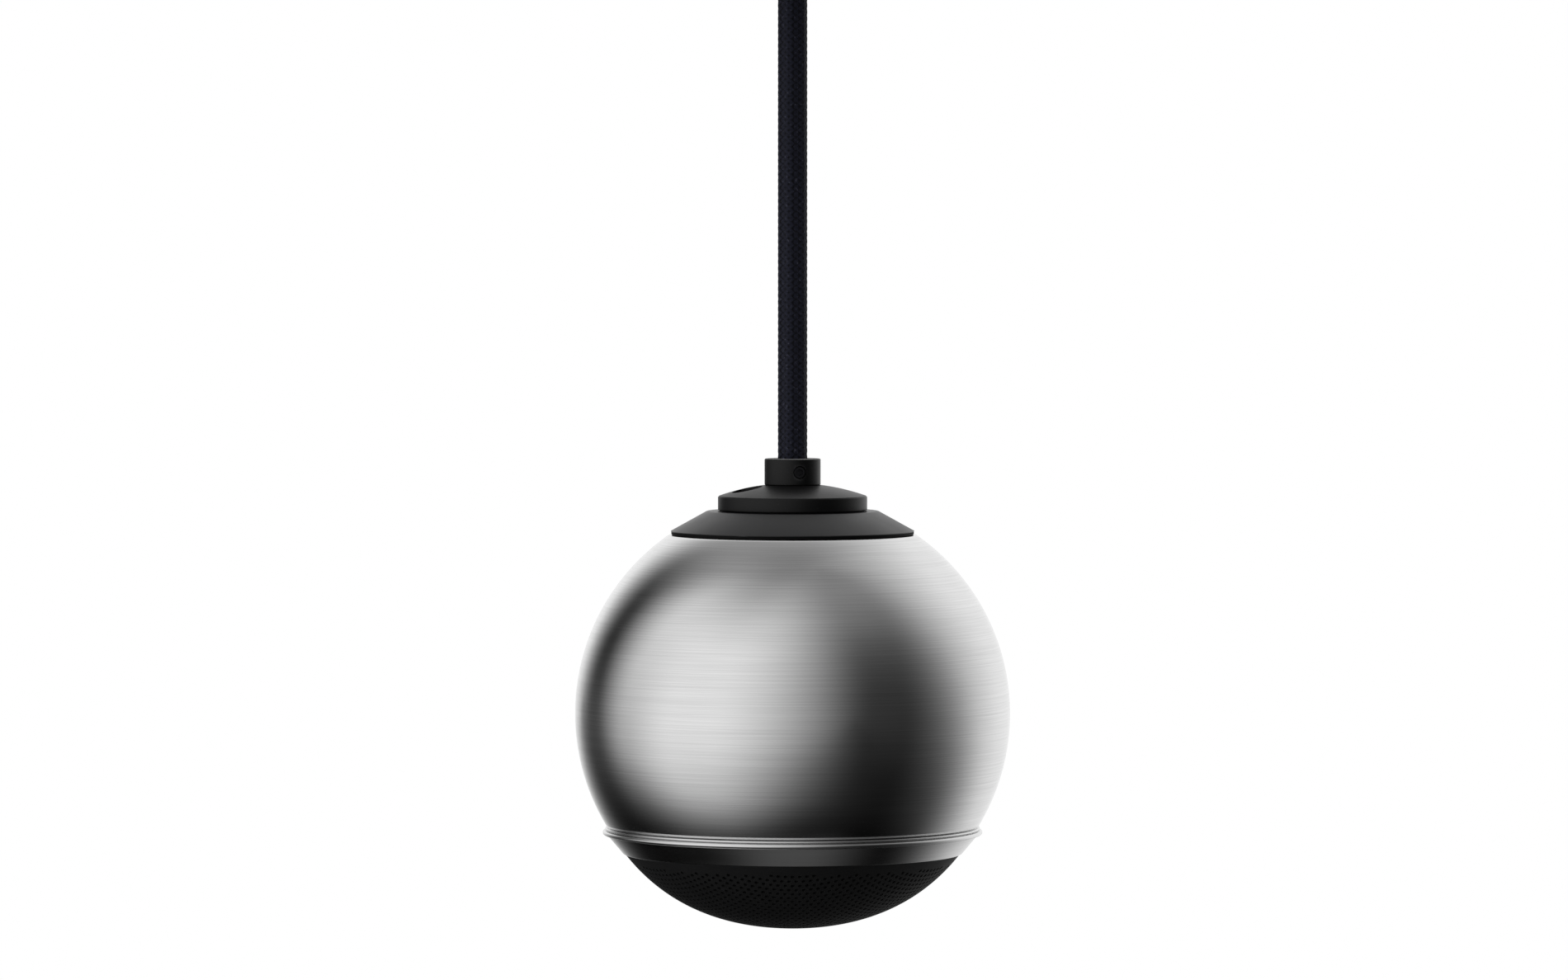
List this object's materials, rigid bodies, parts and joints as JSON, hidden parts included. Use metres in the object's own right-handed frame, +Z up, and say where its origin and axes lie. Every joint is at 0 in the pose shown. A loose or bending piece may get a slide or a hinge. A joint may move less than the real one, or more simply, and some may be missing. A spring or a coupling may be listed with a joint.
{
  "type": "pendant speaker",
  "caption": "Brushed steel ball loudspeaker that hangs from a ceiling cup on a braided cord, with a domed grille facing down.",
  "frame": {"origin": "centre of the ceiling bracket's top face, which lies against the ceiling", "axes": "+Z up into the ceiling, +X along the bracket's two ceiling screws, -Y the front that the picture shows"},
  "size_m": [0.1, 0.1, 0.2544],
  "materials": {
    "brushed_steel": "fine brushing round the vertical axis",
    "satin_black": "satin black coating",
    "black_grille": "matt black powder coat on fine perforated sheet",
    "grille_cloth": "black acoustic cloth",
    "black_screw": "black oxide",
    "brass": "turned",
    "plated_steel": "zinc plated",
    "braid": "blue-black braid over a round cord",
    "black_basket": "black enamel on pressed steel",
    "foam": "closed-cell foam",
    "ferrite": "ground ferrite",
    "former": "kraft paper tube",
    "copper": "enamelled copper",
    "spider_cloth": "impregnated cloth",
    "cone_paper": "pressed pulp",
    "soft_rubber": "matt",
    "board": "laminate",
    "red_wire": "insulated wire",
    "black_wire": "insulated wire",
    "wadding": "polyester wadding",
    "block_plastic": "moulded"
  },
  "bodies": {
    "housing": {"ball_shell": "brushed_steel", "bezel_ring": "brushed_steel", "grille_dome": "black_grille", "grille_cloth": "grille_cloth", "flange_cone": "satin_black", "neck_cap": "satin_black", "cord_collar": "satin_black", "collar_grub_screw": "black_screw", "hollow_nipple": "brass", "clamp_plate": "plated_steel", "lock_nut": "brass", "cord_inner_end": "braid", "inner_cord_stop": "plated_steel", "driver_basket": "black_basket", "driver_gasket": "foam", "driver_screws": "black_screw", "front_plate": "plated_steel", "magnet_ring": "ferrite", "back_plate": "plated_steel", "spider": "spider_cloth", "surround": "soft_rubber", "terminal_board": "board", "tinsel_leads": "copper", "lead_positive": "red_wire", "lead_negative": "black_wire", "wadding": "wadding", "cord": "braid", "ceiling_grip": "satin_black", "ceiling_grub_screw": "black_screw", "ceiling_grip_nut": "brass", "ceiling_cord_stop": "plated_steel", "ceiling_cup": "satin_black", "cup_screws": "black_screw", "ceiling_bracket": "plated_steel", "terminal_block": "block_plastic", "terminal_screws": "brass", "core_positive": "red_wire", "core_negative": "black_wire"},
    "diaphragm": {"cone": "cone_paper", "dust_cap": "cone_paper", "voice_coil_former": "former", "voice_coil": "copper"}
  },
  "joints": [
    {"name": "cone_travel", "type": "slide", "parent": "housing", "child": "diaphragm", "axis": [0, 0, 1], "range_m": [-0.0015, 0.0015], "stiffness_N_per_m": 800, "deforming": ["surround", "spider", "tinsel_leads"]}
  ]
}
